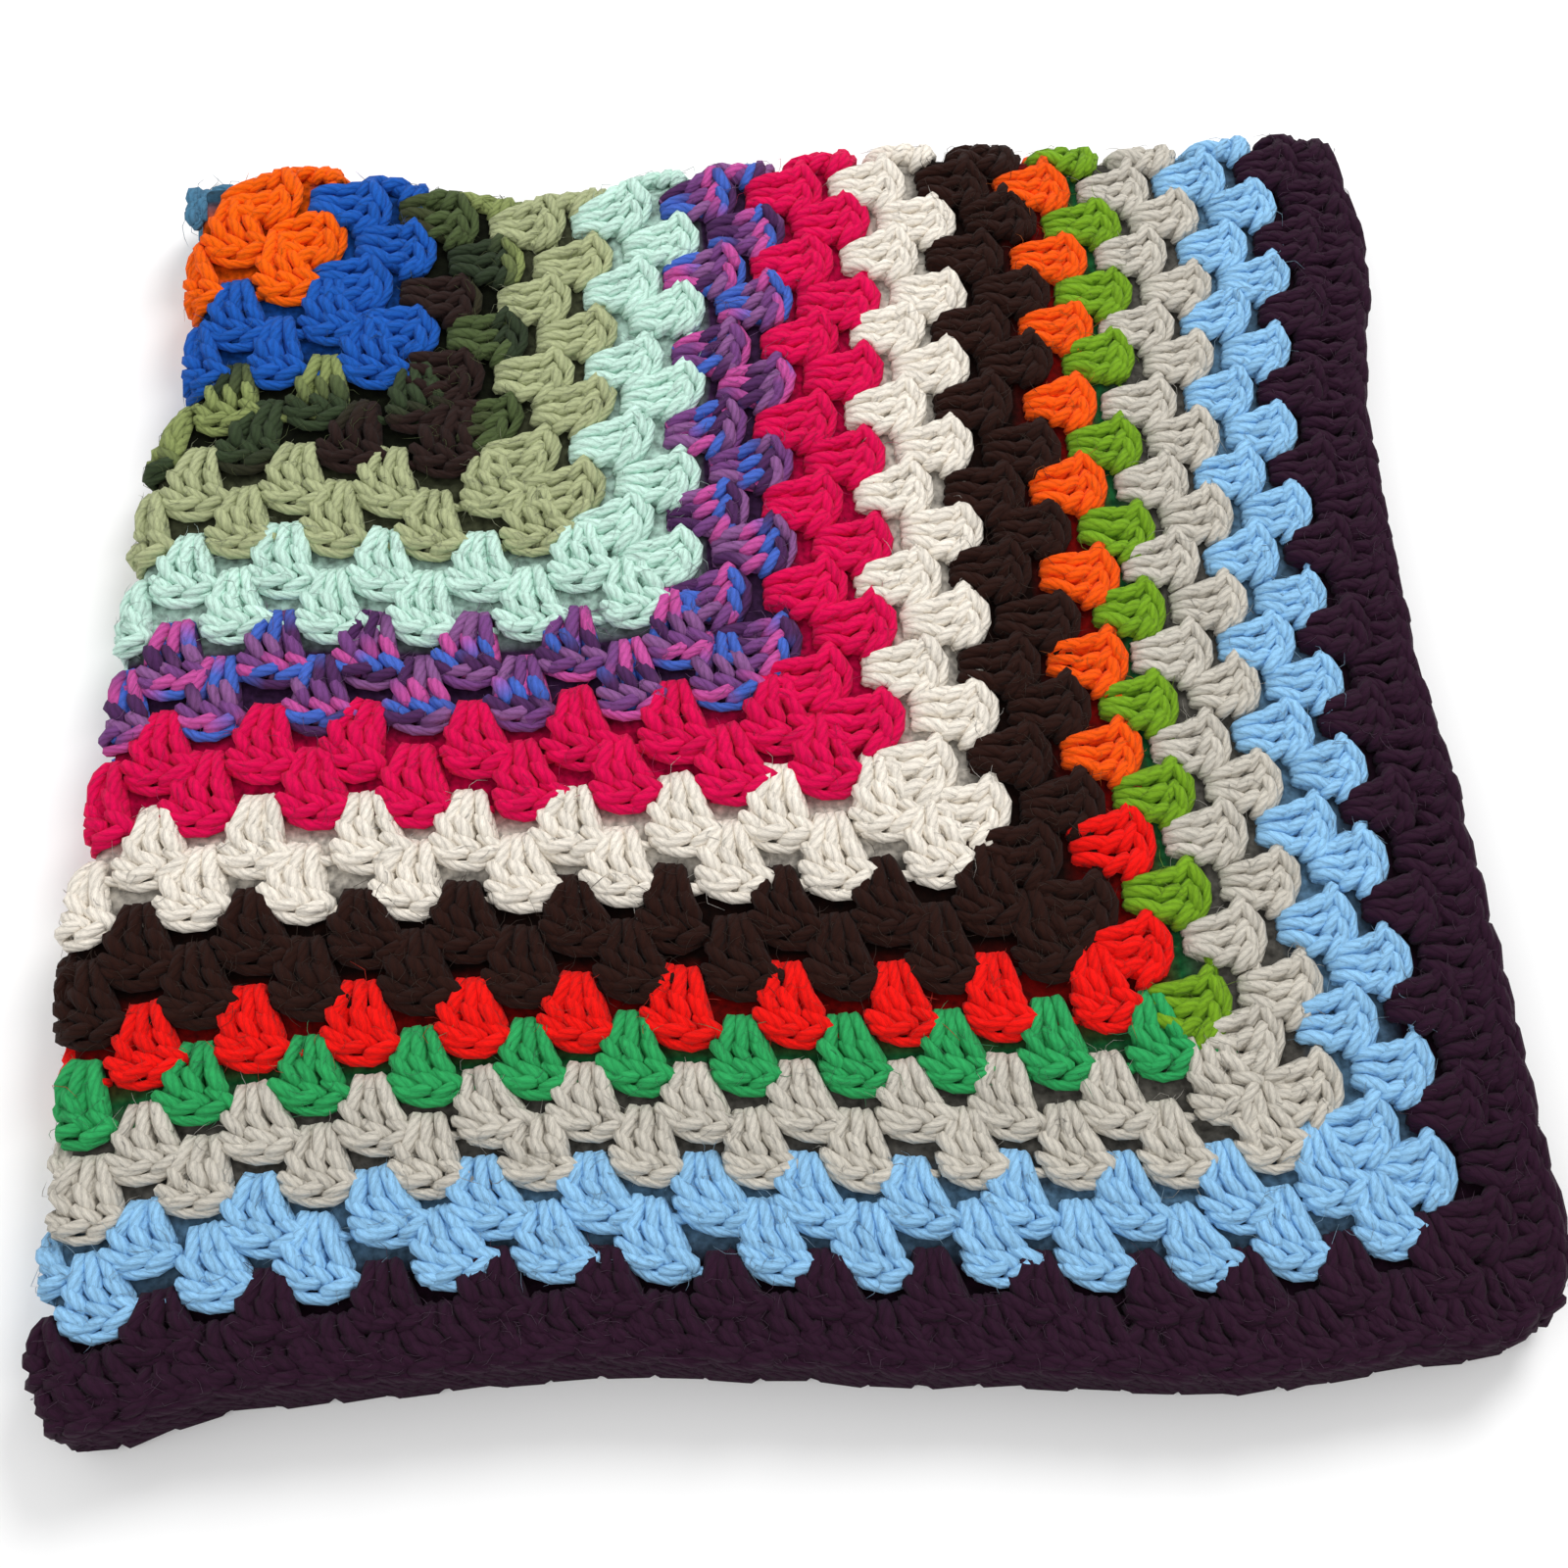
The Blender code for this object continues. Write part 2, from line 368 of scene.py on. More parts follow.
def tubes(cloth_paths, radius, sides, run_start, narrow):
    """Closed tubes of yarn along paths (strand, point, 3) of the flat cloth, placed in the pile.

    Returns points, faces as arrays of corners, and per corner the way round and along the yarn.
    """
    strands, count = cloth_paths.shape[:2]
    line = place(cloth_paths)
    above = cloth_paths + np.array((0.0, 0.0, ABOVE))
    up = place(above) - line
    tangent = np.gradient(line, axis=1)
    tangent /= np.linalg.norm(tangent, axis=-1, keepdims=True) + TINY
    side = np.cross(tangent, up)
    side /= np.linalg.norm(side, axis=-1, keepdims=True) + TINY
    lift = np.cross(side, tangent)
    taper = np.ones(count)
    taper[0] = taper[-1] = narrow
    thick = radius[:, None] * taper[None, :]
    angle = np.linspace(0, 2 * math.pi, sides, endpoint=False)
    ring = (np.cos(angle)[:, None] * side[:, :, None, :] + np.sin(angle)[:, None] * lift[:, :, None, :])
    points = pressed(line[:, :, None, :] + ring * thick[:, :, None, None])

    first = (np.arange(strands) * count * sides)[:, None, None]
    i, j = np.meshgrid(np.arange(count - 1), np.arange(sides), indexing="ij")
    i, j = i.ravel(), j.ravel()
    after = (j + 1) % sides
    quads = np.stack((i * sides + j, (i + 1) * sides + j, (i + 1) * sides + after, i * sides + after), -1)
    quads = (first + quads[None]).reshape(-1, 4)
    start = (first[:, :, 0] + np.arange(sides)[None])
    end = (first[:, :, 0] + (count - 1) * sides + np.arange(sides)[::-1][None])

    length = np.concatenate((np.zeros((strands, 1)),
                             np.cumsum(np.linalg.norm(np.diff(line, axis=1), axis=-1), axis=1)), axis=1)
    run = length + run_start[:, None]
    way = np.stack((j, j, j + 1, j + 1), axis=-1) / sides
    at = np.stack((i, i + 1, i + 1, i), axis=-1)
    quad_run = run[:, at]
    quad_uv = np.stack((np.broadcast_to(way[None], quad_run.shape), quad_run / MM), -1).reshape(-1, 4, 2)
    cap_way = np.arange(sides) / sides
    caps = []
    for which, order in ((0, cap_way), (-1, cap_way[::-1])):
        caps.append(np.stack((np.broadcast_to(order, (strands, sides)),
                              np.broadcast_to(run[:, which, None] / MM, (strands, sides))), axis=-1))
    share = np.broadcast_to((at / (count - 1))[None], quad_run.shape)
    strand = np.repeat(np.arange(strands), len(i))
    return {"points": points.reshape(-1, 3), "quads": quads, "quad_uv": quad_uv,
            "caps": np.concatenate((start, end)), "cap_uv": np.concatenate(caps),
            "quad_share": share.reshape(-1, 4),
            "quad_way": np.broadcast_to(way[None], quad_run.shape).reshape(-1, 4),
            "quad_strand": strand, "cap_strand": np.tile(np.arange(strands), 2),
            "strand_of_point": np.repeat(np.arange(strands), count * sides), "strands": strands}


# A strand's cell on the flat map: the free space at its sides and ends, and the end caps in the latter.
CELL_SIDE = 0.08
CELL_END = 0.12
CAP_MIDDLE = 0.06
CAP_WIDE = 0.3
CAP_HIGH = 0.03


def bake_map(groups):
    """A flat map that gives every strand a cell of its own: way round across it, length up it."""
    total = sum(g["strands"] for g in groups)
    columns = max(1, math.ceil(math.sqrt(total)))
    quad_maps, cap_maps = [], []
    before = 0
    for g in groups:
        cell = before + g["quad_strand"]
        column, row = (cell % columns)[:, None], (cell // columns)[:, None]
        right = column + CELL_SIDE + (1 - 2 * CELL_SIDE) * g["quad_way"]
        up = row + CELL_END + (1 - 2 * CELL_END) * g["quad_share"]
        quad_maps.append(np.stack((right, up), axis=-1) / columns)
        cell = before + g["cap_strand"]
        sides = g["caps"].shape[1]
        turn = np.arange(sides) / sides * 2 * math.pi
        low = np.arange(len(cell)) < len(cell) // 2
        height = np.where(low, CAP_MIDDLE, 1 - CAP_MIDDLE)[:, None]
        right = (cell % columns)[:, None] + 0.5 + CAP_WIDE * np.cos(turn)
        up = (cell // columns)[:, None] + height + CAP_HIGH * np.sin(turn)
        cap_maps.append(np.stack((right, up), axis=-1) / columns)
        before += g["strands"]
    return quad_maps, cap_maps


def make_mesh(name, points, faces, corner_maps, shades=None):
    """A mesh from points and a list of equal-sided face arrays, each with its corner maps."""
    mesh = bpy.data.meshes.new(name)
    corners = np.concatenate([f.ravel() for f in faces])
    sizes = np.concatenate([np.full(len(f), f.shape[1]) for f in faces])
    mesh.vertices.add(len(points))
    mesh.vertices.foreach_set("co", points.astype(np.float32).ravel())
    mesh.loops.add(len(corners))
    mesh.loops.foreach_set("vertex_index", corners.astype(np.int32))
    mesh.polygons.add(len(sizes))
    mesh.polygons.foreach_set("loop_start", np.concatenate(((0,), np.cumsum(sizes)[:-1])).astype(np.int32))
    for map_name, parts in corner_maps:
        layer = mesh.uv_layers.new(name=map_name, do_init=False)
        flat = np.concatenate([p.reshape(-1, 2) for p in parts])
        layer.uv.foreach_set("vector", flat.astype(np.float32).ravel())
    if shades is not None:
        attribute = mesh.attributes.new("shade", "FLOAT", "POINT")
        attribute.data.foreach_set("value", shades.astype(np.float32))
    mesh.update(calc_edges=True)
    mesh.validate()
    mesh.shade_smooth()
    return mesh


def yarn_piece(name, groups, material, dice):
    """Join groups of tubes into one piece of yarn."""
    offset = 0
    for g in groups:
        g["quads"] = g["quads"] + offset
        g["caps"] = g["caps"] + offset
        offset += len(g["points"])
    quad_maps, cap_maps = bake_map(groups)
    faces, yarn_map, flat_map, shades = [], [], [], []
    for g, quad_map, cap_map in zip(groups, quad_maps, cap_maps):
        faces += [g["quads"], g["caps"]]
        yarn_map += [g["quad_uv"], g["cap_uv"]]
        flat_map += [quad_map, cap_map]
        shades.append(dice.normal(0.0, 1.0, g["strands"])[g["strand_of_point"]])
    points = np.concatenate([g["points"] for g in groups])
    mesh = make_mesh(name, points, faces, (("yarn", yarn_map), ("OFBake", flat_map)), np.concatenate(shades))
    mesh.materials.append(material)
    piece = bpy.data.objects.new(name, mesh)
    bpy.context.scene.collection.objects.link(piece)
    return piece


# --- yarns -----------------------------------------------------------------------------------------
def linear(hex_colour):
    """An sRGB hex colour as linear RGBA."""
    parts = [int(hex_colour[i:i + 2], 16) / 255 for i in (1, 3, 5)]
    return [p / 12.92 if p <= 0.04045 else ((p + 0.055) / 1.055) ** 2.4 for p in parts] + [1.0]


def add(tree, kind, settings=None, **inputs):
    """Add a node, set its properties, and set or link its inputs by name (spaces as underscores)."""
    node = tree.nodes.new(kind)
    for name, value in (settings or {}).items():
        setattr(node, name, value)
    for name, value in inputs.items():
        socket = node.inputs[int(name[1:]) if name[0] == "_" else name.replace("_", " ")]
        if isinstance(value, bpy.types.NodeSocket):
            tree.links.new(value, socket)
        else:
            socket.default_value = value
    return node


PLIES = 5                    # plies in the yarn
LEAD = 19.0                  # millimetres along the yarn for one turn of its twist
PLY_ROUND = 0.5              # the power that makes a wave into round plies with narrow grooves
GROOVE_PAINTED_SHADE = 0.2            # painted shade: how much darker the grooves between the plies are
PLY_HEIGHT = 0.35 * MM       # how deep the grooves look
FIBRE_HEIGHT = 0.9           # how high the streaks of fibre stand beside the plies
STREAKS = 3.2                # how fine the streaks are, times the next two
STREAKS_TO_PLY = 2.6         # across each ply
STREAKS_TO_MM = 0.35         # along each millimetre of it, drawn coarse enough to show
STREAK_DARK = 0.80
STREAK_LIGHT = 1.16
STRAND_TONE = 0.035          # how much lighter or darker one strand is than the next
DYE_BLEND = 0.25             # share of each colour of space-dyed yarn that blends into the next
YARN_ROUGH = 0.85
YARN_GLOSS = 0.12
YARN_SHEEN = 0.03
SHEEN_ROUGH = 0.5


def yarn(name, colours, run=None):
    """Acrylic aran yarn, five plies twisted loosely: soft slanting grooves and a matt, slightly fuzzy skin.

    Space-dyed yarn has several colours, which follow each other every run millimetres of yarn.
    """
    material = bpy.data.materials.new(name)
    material.use_nodes = True
    tree = material.node_tree
    shader = tree.nodes["Principled BSDF"]
    length_map = add(tree, "ShaderNodeUVMap", {"uv_map": "yarn"})
    parts = add(tree, "ShaderNodeSeparateXYZ", Vector=length_map.outputs[0])
    way, length = parts.outputs[0], parts.outputs[1]
    shade = add(tree, "ShaderNodeAttribute", {"attribute_name": "shade"}).outputs["Fac"]

    # The plies: grooves that wind round the strand.
    round_it = add(tree, "ShaderNodeMath", {"operation": "MULTIPLY"}, _0=way, _1=float(PLIES)).outputs[0]
    turns = add(tree, "ShaderNodeMath", {"operation": "MULTIPLY_ADD"}, _0=length, _1=PLIES / LEAD,
                _2=round_it).outputs[0]
    angle = add(tree, "ShaderNodeMath", {"operation": "MULTIPLY"}, _0=turns, _1=2 * math.pi).outputs[0]
    wave = add(tree, "ShaderNodeMath", {"operation": "COSINE"}, _0=angle).outputs[0]
    half = add(tree, "ShaderNodeMath", {"operation": "MULTIPLY_ADD"}, _0=wave, _1=0.5, _2=0.5).outputs[0]
    ply = add(tree, "ShaderNodeMath", {"operation": "POWER"}, _0=half, _1=PLY_ROUND).outputs[0]

    # The fibres: fine streaks that run along each ply.
    over = add(tree, "ShaderNodeMath", {"operation": "MULTIPLY"}, _0=turns, _1=STREAKS_TO_PLY).outputs[0]
    on = add(tree, "ShaderNodeMath", {"operation": "MULTIPLY"}, _0=length, _1=STREAKS_TO_MM).outputs[0]
    lie = add(tree, "ShaderNodeCombineXYZ", X=over, Y=on, Z=shade).outputs[0]
    fibre = add(tree, "ShaderNodeTexNoise", Vector=lie, Scale=STREAKS, Detail=3.0, Roughness=0.6)

    colour = linear(colours[0])[:3]
    if len(colours) > 1:
        part_run = add(tree, "ShaderNodeMath", {"operation": "DIVIDE"}, _0=length, _1=run).outputs[0]
        at = add(tree, "ShaderNodeMath", {"operation": "FRACT"}, _0=part_run).outputs[0]
        ramp = add(tree, "ShaderNodeValToRGB", Fac=at)
        band = ramp.color_ramp
        soft = DYE_BLEND / len(colours)
        while len(band.elements) < 2 * len(colours):
            band.elements.new(0.5)
        for i, hex_colour in enumerate(colours):
            first, last = band.elements[2 * i], band.elements[2 * i + 1]
            first.position = i / len(colours) + soft / 2
            last.position = (i + 1) / len(colours) - soft / 2
            first.color = last.color = linear(hex_colour)
        colour = ramp.outputs[0]

    # Grooves get painted shade, fibres catch light unevenly, and no two strands are quite alike.
    groove_shade = add(tree, "ShaderNodeMapRange", Value=ply, To_Min=1.0 - GROOVE_PAINTED_SHADE, To_Max=1.0).outputs[0]
    streak = add(tree, "ShaderNodeMapRange", Value=fibre.outputs[0], From_Min=0.3, From_Max=0.7,
                 To_Min=STREAK_DARK, To_Max=STREAK_LIGHT).outputs[0]
    strand = add(tree, "ShaderNodeMath", {"operation": "MULTIPLY_ADD"}, _0=shade, _1=STRAND_TONE, _2=1.0)
    both = add(tree, "ShaderNodeMath", {"operation": "MULTIPLY"}, _0=groove_shade, _1=streak).outputs[0]
    strength = add(tree, "ShaderNodeMath", {"operation": "MULTIPLY"}, _0=both, _1=strand.outputs[0])
    tone = add(tree, "ShaderNodeVectorMath", {"operation": "SCALE"}, _0=colour, Scale=strength.outputs[0])
    tree.links.new(tone.outputs[0], shader.inputs["Base Color"])

    height = add(tree, "ShaderNodeMath", {"operation": "MULTIPLY_ADD"}, _0=fibre.outputs[0],
                 _1=FIBRE_HEIGHT, _2=ply)
    bump = add(tree, "ShaderNodeBump", Height=height.outputs[0], Strength=1.0, Distance=PLY_HEIGHT)
    tree.links.new(bump.outputs[0], shader.inputs["Normal"])
    shader.inputs["Roughness"].default_value = YARN_ROUGH
    shader.inputs["Specular IOR Level"].default_value = YARN_GLOSS
    shader.inputs["Sheen Weight"].default_value = YARN_SHEEN
    shader.inputs["Sheen Roughness"].default_value = SHEEN_ROUGH
    return material


# Each yarn: its colours, the share of its colour left in the painted shade of the gaps deep in the stitches,
# how thick it is beside the others, and the colour and number of its stray fibres.
Yarn = namedtuple("Yarn", "colours inside thicker fibre_colour fibres")
YARNS = {
    "steel_blue": Yarn(("#4a7b9a",), 0.30, 1.02, "#6d97b2", 24),
    "orange": Yarn(("#fc6400",), 0.50, 1.05, "#ff8a3a", 120),
    "royal_blue": Yarn(("#1b5ab6",), 0.45, 1.07, "#4a7ac8", 200),
    "camouflage": Yarn(("#2f3b28", "#8d9a5e", "#37452d", "#2a1a17", "#2a1a17", "#4d5c36"), 0.05, 1.00,
                       "#6f7a50", 350),
    "sage": Yarn(("#b0b78b",), 0.10, 1.00, "#c2c8a4", 400),
    "mint": Yarn(("#ccefe1",), 0.60, 1.03, "#dcf5ec", 400),
    "violet_mix": Yarn(("#7a4585", "#c9529f", "#4769c8", "#4f2a5a", "#8d5a92"), 0.12, 1.00,
                       "#a078aa", 400),
    "crimson": Yarn(("#e00050",), 0.50, 1.10, "#ee3a7c", 400),
    "cream": Yarn(("#f1e9dc",), 0.60, 1.12, "#fffaf2", 400),
    "dark_brown": Yarn(("#270f08",), 0.30, 1.08, "#55433a", 1500),
    "scarlet": Yarn(("#f5120b",), 0.12, 1.00, "#ff4a3a", 200),
    "vermilion": Yarn(("#fe5a06",), 0.15, 1.00, "#ff8a3a", 150),
    "emerald": Yarn(("#2ea55c",), 0.20, 1.00, "#62c488", 200),
    "lime": Yarn(("#76a320",), 0.20, 1.00, "#9cc04a", 150),
    "pale_grey": Yarn(("#cdc7bb",), 0.12, 1.00, "#e2ddd3", 600),
    "sky_blue": Yarn(("#92c6ee",), 0.25, 1.02, "#b4daf6", 600),
    "dark_purple": Yarn(("#2b1025",), 0.30, 1.10, "#6b5266", 1500),
}
# Millimetres of space-dyed yarn for one run through its colours.
RUNS = {"camouflage": 1500.0, "violet_mix": 170.0}
# Which yarn each round is worked in, from the middle outwards.
BANDS = ((1, "steel_blue"), (3, "orange"), (5, "royal_blue"), (7, "camouflage"), (9, "sage"),
         (11, "mint"), (13, "violet_mix"), (15, "crimson"), (17, "cream"), (19, "dark_brown"),
         (20, "scarlet"), (21, "emerald"), (23, "pale_grey"), (25, "sky_blue"), (27, "dark_purple"))


TURNS_ORANGE = 20            # the scarlet round, which goes on in vermilion
TURNS_LIME = 21              # the emerald round, which goes on in lime
VERMILION_FROM = 1.9         # clusters from the front right corner to where vermilion starts


def yarn_of_round(round_number):
    """The yarn that a round starts in."""
    return next(name for last, name in BANDS if round_number <= last)


def yarn_of(cluster):
    """The yarn of one cluster: two rounds change yarn a little way round the right-hand corner."""
    number, side = int(cluster[ROUND]), int(cluster[SIDE])
    name = yarn_of_round(number)
    from_corner = (reach(number) + cluster[ALONG]) / STEP
    if number == TURNS_ORANGE and (side in (BACK, LEFT) or (side == RIGHT and from_corner > VERMILION_FROM)):
        name = "vermilion"
    if number == TURNS_LIME and side != FRONT:
        name = "lime"
    return name


NEAR = 1.2 * STEP            # how far round a fold the close work goes on
PER_CLUSTER = 205 * MM       # yarn that goes into one cluster
PER_STRAND = 13 * MM         # from one strand's stretch of it to the next one's
THICKNESS_VARIES = 0.07      # share by which one strand is thicker than the next
FIBRE = 0.09                 # radius of a stray fibre in millimetres, drawn coarse enough to show
FIBRE_SHORT, FIBRE_LONG = 2.5, 8.0    # millimetres
FIBRE_LOW, FIBRE_HIGH = 0.2, 1.3      # millimetres that its arc rises
FIBRE_OVER = 1.2 * MM        # it starts this far over the middle of its strand
FIBRE_TURNS = 1.1            # angle that it bends by along its length
FIBRE_NARROWS = 0.4          # how narrow its ends are
FIBRE_POINTS = (0.0, 0.33, 0.67, 1.0)
ARC_FROM, ARC_LENGTH = 0.1, 0.8       # the part of a half wave that it follows


# Where a cluster lies in the pile: the top layer with its bends, the underside, the open edges of the
# two layers between, and the rest of those, which is hidden.
TOP, UNDERSIDE, OPEN_EDGE, HIDDEN = range(4)
TO_MIDDLE = 0.4 * STEP       # from a cluster's rim in to about its middle


def layer_of(cluster):
    """Where in the pile a cluster lies."""
    out = float(reach(cluster[ROUND])) - TO_MIDDLE
    spots = {FRONT: (cluster[ALONG], -out), RIGHT: (out, cluster[ALONG]), BACK: (-cluster[ALONG], out),
             LEFT: (-out, -cluster[ALONG])}
    s, t = spots[int(cluster[SIDE])]
    if s > -NEAR and t < NEAR:
        return TOP
    if s > -NEAR:
        return UNDERSIDE
    return OPEN_EDGE if cluster[ROUND] >= ROUNDS - 1 else HIDDEN


def strand_groups(clusters, shapes, thicker, face, dice):
    """The strands of a cluster shape at every cluster.

    Each group holds flat paths, radii, how much the ends narrow, and where on its yarn a strand starts.
    """
    groups = []
    before = 0
    for paths, thick, taper in shapes:
        laid = lay(paths, clusters, face, dice)
        which, strand = np.meshgrid(np.arange(len(clusters)), before + np.arange(len(paths)), indexing="ij")
        laid = laid.reshape(-1, *laid.shape[2:])
        radius = STRAND * thicker * thick * MM * (1 + THICKNESS_VARIES * dice.normal(0.0, 1.0, len(laid)))
        groups.append((laid, radius, taper, (which * PER_CLUSTER + strand * PER_STRAND).ravel()))
        before += len(paths)
    return groups


def wound(groups, sides):
    """Tubes of yarn along strand groups."""
    return [tubes(laid, radius, sides, start, taper) for laid, radius, taper, start in groups]


def stray_fibres(groups, count, dice):
    """Fine fibres that have worked loose from the strands and lie over them in low arcs."""
    starts = np.concatenate([group[0][:, 1:-1].reshape(-1, 3) for group in groups])
    starts = starts[dice.integers(0, len(starts), count)]
    heading = dice.uniform(0.0, 2 * math.pi, count)
    turning = dice.normal(0.0, FIBRE_TURNS, count)
    length = dice.uniform(FIBRE_SHORT, FIBRE_LONG, count) * MM
    lift = dice.uniform(FIBRE_LOW, FIBRE_HIGH, count) * MM
    lines = []
    for share in FIBRE_POINTS:
        angle = heading + turning * share
        out = length * share
        right = starts[:, 0] + np.cos(angle) * out
        back = starts[:, 1] + np.sin(angle) * out
        high = starts[:, 2] + FIBRE_OVER + lift * math.sin(math.pi * (ARC_FROM + ARC_LENGTH * share))
        lines.append(np.stack((right, back, high), axis=-1))
    radius = np.full(count, FIBRE * MM)
    return [(np.stack(lines, axis=1), radius, FIBRE_NARROWS, np.arange(count) * PER_STRAND)]


def sorted_clusters(dice):
    """All clusters of the cloth, by yarn and then by layer."""
    found = {name: {} for name in YARNS}
    for number in range(1, ROUNDS + 1):
        for cluster in clusters_of(number, dice):
            found[yarn_of(cluster)].setdefault(layer_of(cluster), []).append(cluster)
    for layers in found.values():
        for layer in layers:
            layers[layer] = np.array(layers[layer])
    return found


def lower_strands(layers, thicker, dice):
    """The strands of the underside and of the open edges between the layers."""
    groups = []
    for layer in (UNDERSIDE, OPEN_EDGE):
        if layer in layers:
            groups += strand_groups(layers[layer], plain_cluster(), thicker, 1, dice)
    for rows in layers.values():
        edge = rows[rows[:, ROUND] == ROUNDS]
        if len(edge):
            groups += strand_groups(edge, plain_cluster(), thicker, -1, dice)
    return groups


# Sides of the tubes of yarn: those seen close to, those of the lower layers, and stray fibres.
CLOSE_SIDES, LOWER_SIDES, FIBRE_SIDES = 6, 4, 3
SEED = 27


def crochet():
    """Every cluster of the cloth that can be seen, in pieces for each yarn, and its stray fibres."""
    dice = np.random.default_rng(SEED)
    pieces = []
    for name, layers in sorted_clusters(dice).items():
        kind = YARNS[name]
        material = yarn("acrylic_aran_" + name, kind.colours, RUNS.get(name))
        if TOP in layers:
            strands = strand_groups(layers[TOP], full_cluster(), kind.thicker, 1, dice)
            pieces.append(yarn_piece("rounds_" + name, wound(strands, CLOSE_SIDES), material, dice))
            loose = wound(stray_fibres(strands, kind.fibres, dice), FIBRE_SIDES)
            fibre = yarn("acrylic_fibre_" + name, (kind.fibre_colour,))
            pieces.append(yarn_piece("fibres_" + name, loose, fibre, dice))
        below = lower_strands(layers, kind.thicker, dice)
        if below:
            pieces.append(yarn_piece("lower_rounds_" + name, wound(below, LOWER_SIDES), material, dice))
    return pieces


# --- the ground of the cloth -----------------------------------------------------------------------
TUFTS = 420.0                # to a metre, so each tuft is about 2.4 mm, a little finer than the yarn
TUFT_DARK = 0.4
TUFT_LIGHT = 1.35
TUFT_HEIGHT = 0.8 * MM
GROUND_ROUGH = 0.95
GROUND_GLOSS = 0.1


def ground_material():
    """The same acrylic yarn deep in the stitches: dull and tufted, its colour darkened with the painted
    shade of the gaps.
    """
    material = bpy.data.materials.new("acrylic_aran_shaded")
    material.use_nodes = True
    tree = material.node_tree
    shader = tree.nodes["Principled BSDF"]
    colour = add(tree, "ShaderNodeAttribute", {"attribute_name": "shaded_yarn_colour"}).outputs["Color"]
    place_at = add(tree, "ShaderNodeTexCoord").outputs["Object"]
    tuft = add(tree, "ShaderNodeTexNoise", Vector=place_at, Scale=TUFTS, Detail=4.0)
    lighter = add(tree, "ShaderNodeMapRange", Value=tuft.outputs[0], From_Min=0.3, From_Max=0.7,
                  To_Min=TUFT_DARK, To_Max=TUFT_LIGHT).outputs[0]
    tone = add(tree, "ShaderNodeVectorMath", {"operation": "SCALE"}, _0=colour, Scale=lighter)
    tree.links.new(tone.outputs[0], shader.inputs["Base Color"])
    bump = add(tree, "ShaderNodeBump", Height=tuft.outputs[0], Strength=1.0, Distance=TUFT_HEIGHT)
    tree.links.new(bump.outputs[0], shader.inputs["Normal"])
    shader.inputs["Roughness"].default_value = GROUND_ROUGH
    shader.inputs["Specular IOR Level"].default_value = GROUND_GLOSS
    return material


SHEET_INSIDE = 1.5 * MM      # the sheet ends this far inside the edge of the cloth
SHEET_FACES = (-1.0, -2.6)   # its two faces, in millimetres from the middle of the cloth
FLAT_STEPS = 40              # mesh points along a flat half side
BEND_STEPS = 11              # mesh points round a bend
NEXT_SHOWS = 5 * MM          # the next round begins to show this far inside the rim of the last one


def colour_rounds(mesh, s, t):
    """Give both faces of the sheet the colour of the round over it, darkened with the painted shade of the
    gaps between the stitches.
    """
    out = np.maximum(abs(s), abs(t))
    rims = np.array([reach(n) for n in range(1, ROUNDS + 1)])
    number = np.clip(np.searchsorted(rims - NEXT_SHOWS, out) + 1, 1, ROUNDS)
    colours = np.ones((*s.shape, 4))
    for n in range(1, ROUNDS + 1):
        kind = YARNS[yarn_of_round(n)]
        mean = np.mean([linear(c) for c in kind.colours], axis=0)
        # painted shade: the round's yarn colour darkened to stand for the shade in the gaps between the
        # clusters
        colours[number == n] = mean * kind.inside
    colours[..., 3] = 1.0
    attribute = mesh.attributes.new("shaded_yarn_colour", "FLOAT_COLOR", "POINT")
    both = np.concatenate((colours.reshape(-1, 4), colours.reshape(-1, 4)))
    attribute.data.foreach_set("color", both.astype(np.float32).ravel())


def ground_sheet():
    """The cloth itself as one thin closed sheet through all four layers, under the strands: the yarn that
    lies deeper, in the painted shade of the gaps.
    """
    half_arc = BACK_RADIUS * math.pi / 2
    flat = np.linspace(half_arc, HALF_SIDE - SHEET_INSIDE, FLAT_STEPS)
    arc = np.linspace(-half_arc, half_arc, BEND_STEPS)
    line = np.concatenate((-flat[::-1], arc[1:-1], flat))
    s, t = np.meshgrid(line, line, indexing="ij")
    grids = [pressed(place(np.stack((s, t, np.full_like(s, n * MM)), axis=-1))) for n in SHEET_FACES]
    rows, columns = s.shape
    index = np.arange(rows * columns).reshape(rows, columns)
    under = index + rows * columns
    top = np.stack((index[:-1, :-1], index[1:, :-1], index[1:, 1:], index[:-1, 1:]), axis=-1).reshape(-1, 4)
    low = np.stack((under[:-1, :-1], under[:-1, 1:], under[1:, 1:], under[1:, :-1]), axis=-1).reshape(-1, 4)
    rim_faces = []
    for a, b in ((index[:, 0], under[:, 0]), (index[::-1, -1], under[::-1, -1]),
                 (index[0, ::-1], under[0, ::-1]), (index[-1, :], under[-1, :])):
        rim_faces.append(np.stack((a[:-1], b[:-1], b[1:], a[1:]), axis=-1))
    points = np.concatenate([g.reshape(-1, 3) for g in grids])
    mesh = make_mesh("blanket_ground", points, [top, low, *rim_faces], ())
    colour_rounds(mesh, s, t)
    mesh.materials.append(ground_material())
    sheet = bpy.data.objects.new("blanket_ground", mesh)
    bpy.context.scene.collection.objects.link(sheet)
    return sheet


# --- floor, light and camera -----------------------------------------------------------------------
FLOOR_REACH = 6.0            # metres each way
FLOOR_BELOW = 0.2 * MM       # so the floor never shows through the lowest yarn
WORLD_LIGHT = 0.80
# Each lamp: where it stands, how wide it is, and its power in watts.
LAMPS = {"key": ((0.7, 0.9, 1.4), 0.7, 15), "fill": ((-0.9, -0.7, 1.6), 1.2, 6)}
LENS = 47.45                 # millimetres, on a sensor 36 mm wide
EYE = (0.1583, -0.4502, 0.5447)
LOOKS_AT = (0.1834, -0.2134, 0.028)
ROLL = 2.34                  # degrees


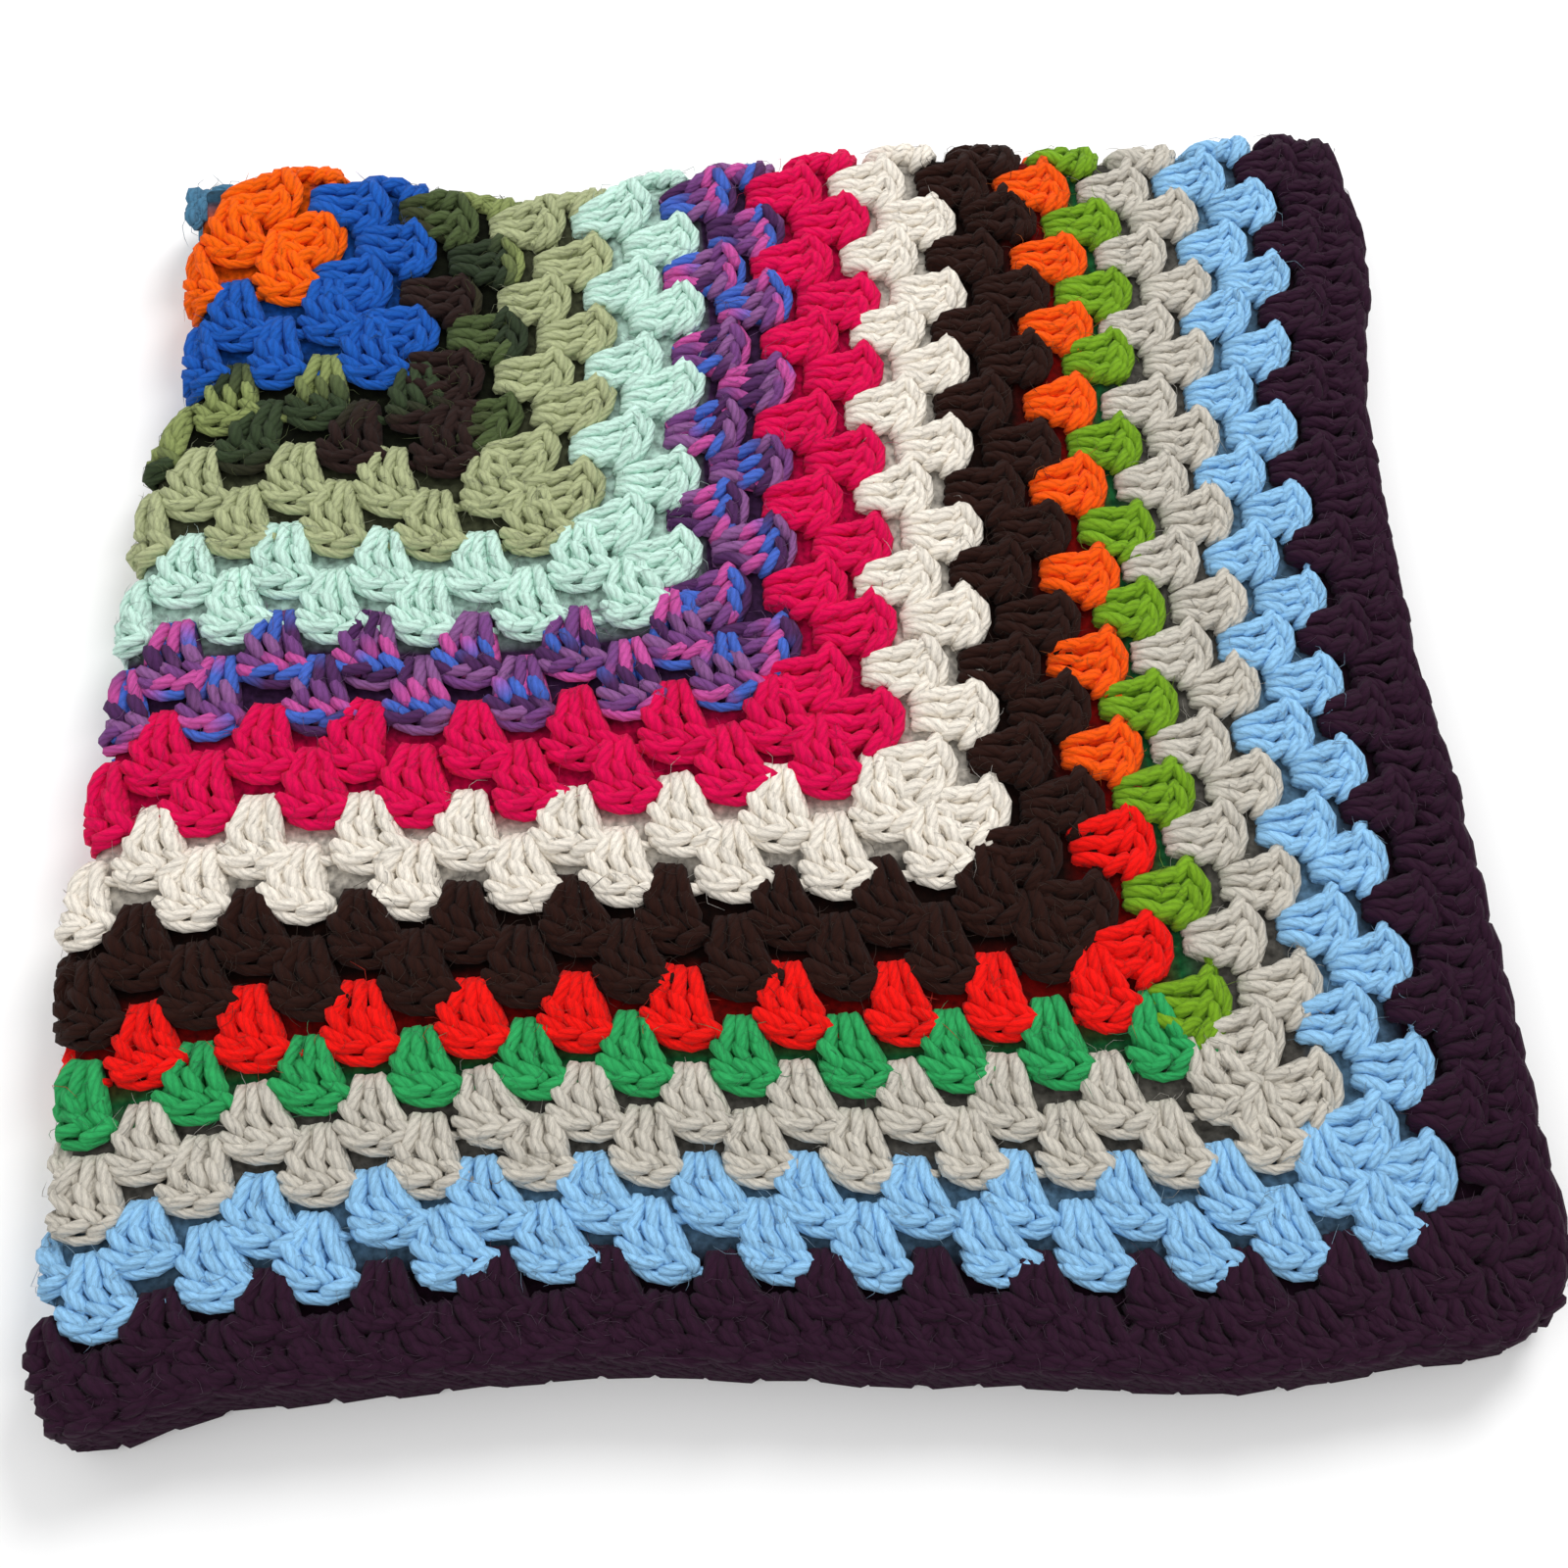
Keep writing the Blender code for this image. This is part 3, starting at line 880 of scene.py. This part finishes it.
def floor():
    """A sheet of matt white paper under the pile, which takes its soft shadow and has no gloss."""
    mesh = bpy.data.meshes.new("floor")
    corners = [(-FLOOR_REACH, -FLOOR_REACH, 0), (FLOOR_REACH, -FLOOR_REACH, 0),
               (FLOOR_REACH, FLOOR_REACH, 0), (-FLOOR_REACH, FLOOR_REACH, 0)]
    mesh.from_pydata(corners, [], [(0, 1, 2, 3)])
    material = bpy.data.materials.new("white_paper")
    material.use_nodes = True
    shader = material.node_tree.nodes["Principled BSDF"]
    shader.inputs["Base Color"].default_value = linear("#f7f7f7")
    shader.inputs["Roughness"].default_value = 0.9
    mesh.materials.append(material)
    plane = bpy.data.objects.new("floor", mesh)
    plane.location.z = cad_low.z - FLOOR_BELOW
    bpy.context.scene.collection.objects.link(plane)


def lamp(name, location, size, power):
    """A round soft lamp, aimed at the middle of the pile."""
    data = bpy.data.lights.new(name, "AREA")
    data.shape = "DISK"
    data.size = size
    data.energy = power
    item = bpy.data.objects.new(name, data)
    item.location = location
    item.rotation_euler = (-Vector(location)).to_track_quat("-Z", "Y").to_euler()
    bpy.context.scene.collection.objects.link(item)


def light():
    """Even white light from all round, with a soft lamp behind and a weaker one in front."""
    world = bpy.data.worlds.new("studio")
    bpy.context.scene.world = world
    world.use_nodes = True
    background = world.node_tree.nodes["Background"]
    background.inputs["Color"].default_value = (1, 1, 1, 1)
    background.inputs["Strength"].default_value = WORLD_LIGHT
    for name, settings in LAMPS.items():
        lamp(name, *settings)


def camera():
    """A short lens held over the front edge, looking steeply down at the pile."""
    data = bpy.data.cameras.new("camera")
    data.lens = LENS
    data.sensor_width = 36.0
    item = bpy.data.objects.new("camera", data)
    eye = Vector(EYE) + Vector(SHIFT)
    target = Vector(LOOKS_AT) + Vector(SHIFT)
    look = (target - eye).to_track_quat("-Z", "Y").to_matrix()
    roll = Matrix.Rotation(math.radians(ROLL), 3, "Z")
    item.matrix_world = Matrix.Translation(eye) @ (look @ roll).to_4x4()
    bpy.context.scene.collection.objects.link(item)
    bpy.context.scene.camera = item


def main():
    """Build the looks and say what rides on what."""
    bpy.context.scene.view_settings.view_transform = "Standard"
    ground = ground_sheet()
    work = crochet()
    for piece in (ground, *work):
        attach(piece, "root")
    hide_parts("blanket")
    floor()
    light()
    camera()


main()
